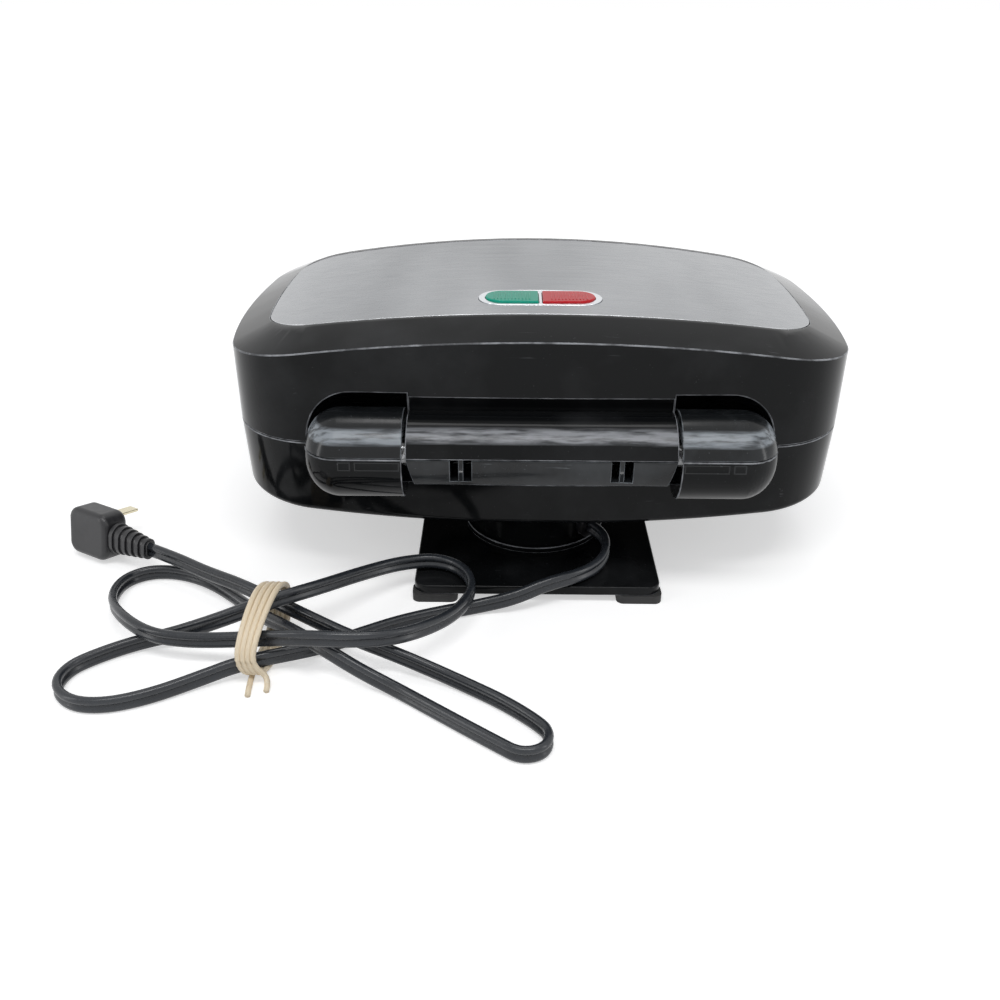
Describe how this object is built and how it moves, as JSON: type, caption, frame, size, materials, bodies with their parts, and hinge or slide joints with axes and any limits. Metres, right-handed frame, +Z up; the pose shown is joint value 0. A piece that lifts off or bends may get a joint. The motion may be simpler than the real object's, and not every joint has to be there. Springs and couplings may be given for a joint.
{
  "type": "waffle maker",
  "caption": "Electric waffle maker with a hinged domed lid, removable pegged plates, front grips and latch, a cord-wrap foot and a tied flat power cord with plug.",
  "frame": {"origin": "on the floor under the middle of the appliance, without its cord", "axes": "+Z up, -Y towards the grips in front, +Y towards the hinge, X along the hinge"},
  "size_m": [0.394, 0.3434, 0.1341],
  "materials": {
    "gloss_black_plastic": "moulded gloss black, lightly scuffed",
    "hinge_black_plastic": "moulded black, semi-gloss, worn on the hinge",
    "brushed_steel_panel": "brushed along the width",
    "light_rim": "pale dished rim",
    "green_light": "ribbed translucent green",
    "red_light": "ribbed translucent red",
    "neon_lamp": "clear glass",
    "white_insulator": "white insulator",
    "nonstick_cast_aluminium": "cast with dark non-stick coating",
    "deck_enamel": "dark enamel",
    "element_sheath": "heat-dulled sheath",
    "aluminised_sheet": "aluminised sheet",
    "bright_steel": "plated steel",
    "soft_rubber": "matt rubber",
    "cord_jacket": "satin two-core flat jacket",
    "band_rubber": "cream rubber",
    "plug_moulding": "black moulded",
    "plug_blade_brass": "nickelled brass"
  },
  "bodies": {
    "base": {"base_shell": "gloss_black_plastic", "cord_drum": "hinge_black_plastic", "cord_hank": "cord_jacket", "cord_lead": "cord_jacket", "cord_strain_relief": "cord_jacket", "cord_tail": "cord_jacket", "foot_screws": "bright_steel", "front_leg_pads": "soft_rubber", "front_legs": "hinge_black_plastic", "left_hinge_pin": "bright_steel", "left_knuckle_cap": "hinge_black_plastic", "lower_button_spring": "bright_steel", "lower_deck_frame": "deck_enamel", "lower_element_saddles": "aluminised_sheet", "lower_handle": "hinge_black_plastic", "lower_heating_element": "element_sheath", "lower_reflector": "aluminised_sheet", "lower_reflector_screws": "bright_steel", "lower_waffle_plate": "nonstick_cast_aluminium", "plug_blades": "plug_blade_brass", "plug_body": "plug_moulding", "plug_strain_relief": "plug_moulding", "rear_foot_pads": "soft_rubber", "rear_foot_plate": "hinge_black_plastic", "right_hinge_pin": "bright_steel", "right_knuckle_cap": "hinge_black_plastic", "rubber_band": "band_rubber", "terminal_block": "white_insulator", "thermal_fuse": "white_insulator", "thermostat": "aluminised_sheet"},
    "lid": {"lid_shell": "gloss_black_plastic", "hinge_barrel_cover": "hinge_black_plastic", "lid_steel_panel": "brushed_steel_panel", "lamp_bezel": "light_rim", "green_lens": "green_light", "red_lens": "red_light", "lamp_holder": "white_insulator", "green_lamp": "neon_lamp", "red_lamp": "neon_lamp", "upper_deck_frame": "deck_enamel", "upper_waffle_plate": "nonstick_cast_aluminium", "upper_heating_element": "element_sheath", "upper_reflector": "aluminised_sheet", "upper_element_saddles": "aluminised_sheet", "upper_reflector_screws": "bright_steel", "upper_handle": "hinge_black_plastic", "latch_pin": "bright_steel", "upper_button_spring": "bright_steel"},
    "latch": {"latch_clip": "hinge_black_plastic"},
    "lower_release": {"lower_release_button": "hinge_black_plastic", "lower_plate_catch": "bright_steel"},
    "upper_release": {"upper_release_button": "hinge_black_plastic", "upper_plate_catch": "bright_steel"}
  },
  "joints": [
    {"name": "lid_hinge", "type": "hinge", "parent": "base", "child": "lid", "pos_m": [0, 0.1013, 0.0765], "axis": [-1, 0, 0], "range_deg": [0, 100]},
    {"name": "latch_pivot", "type": "hinge", "parent": "lid", "child": "latch", "pos_m": [0, -0.1064, 0.0878], "axis": [-1, 0, 0], "range_deg": [0, 70]},
    {"name": "lower_release_press", "type": "slide", "parent": "base", "child": "lower_release", "axis": [0, 1, 0], "range_m": [0, 0.003], "stiffness_N_per_m": 400, "springref_m": -0.003, "deforming": ["lower_button_spring"]},
    {"name": "upper_release_press", "type": "slide", "parent": "lid", "child": "upper_release", "axis": [0, 1, 0], "range_m": [0, 0.003], "stiffness_N_per_m": 400, "springref_m": -0.003, "deforming": ["upper_button_spring"]}
  ]
}
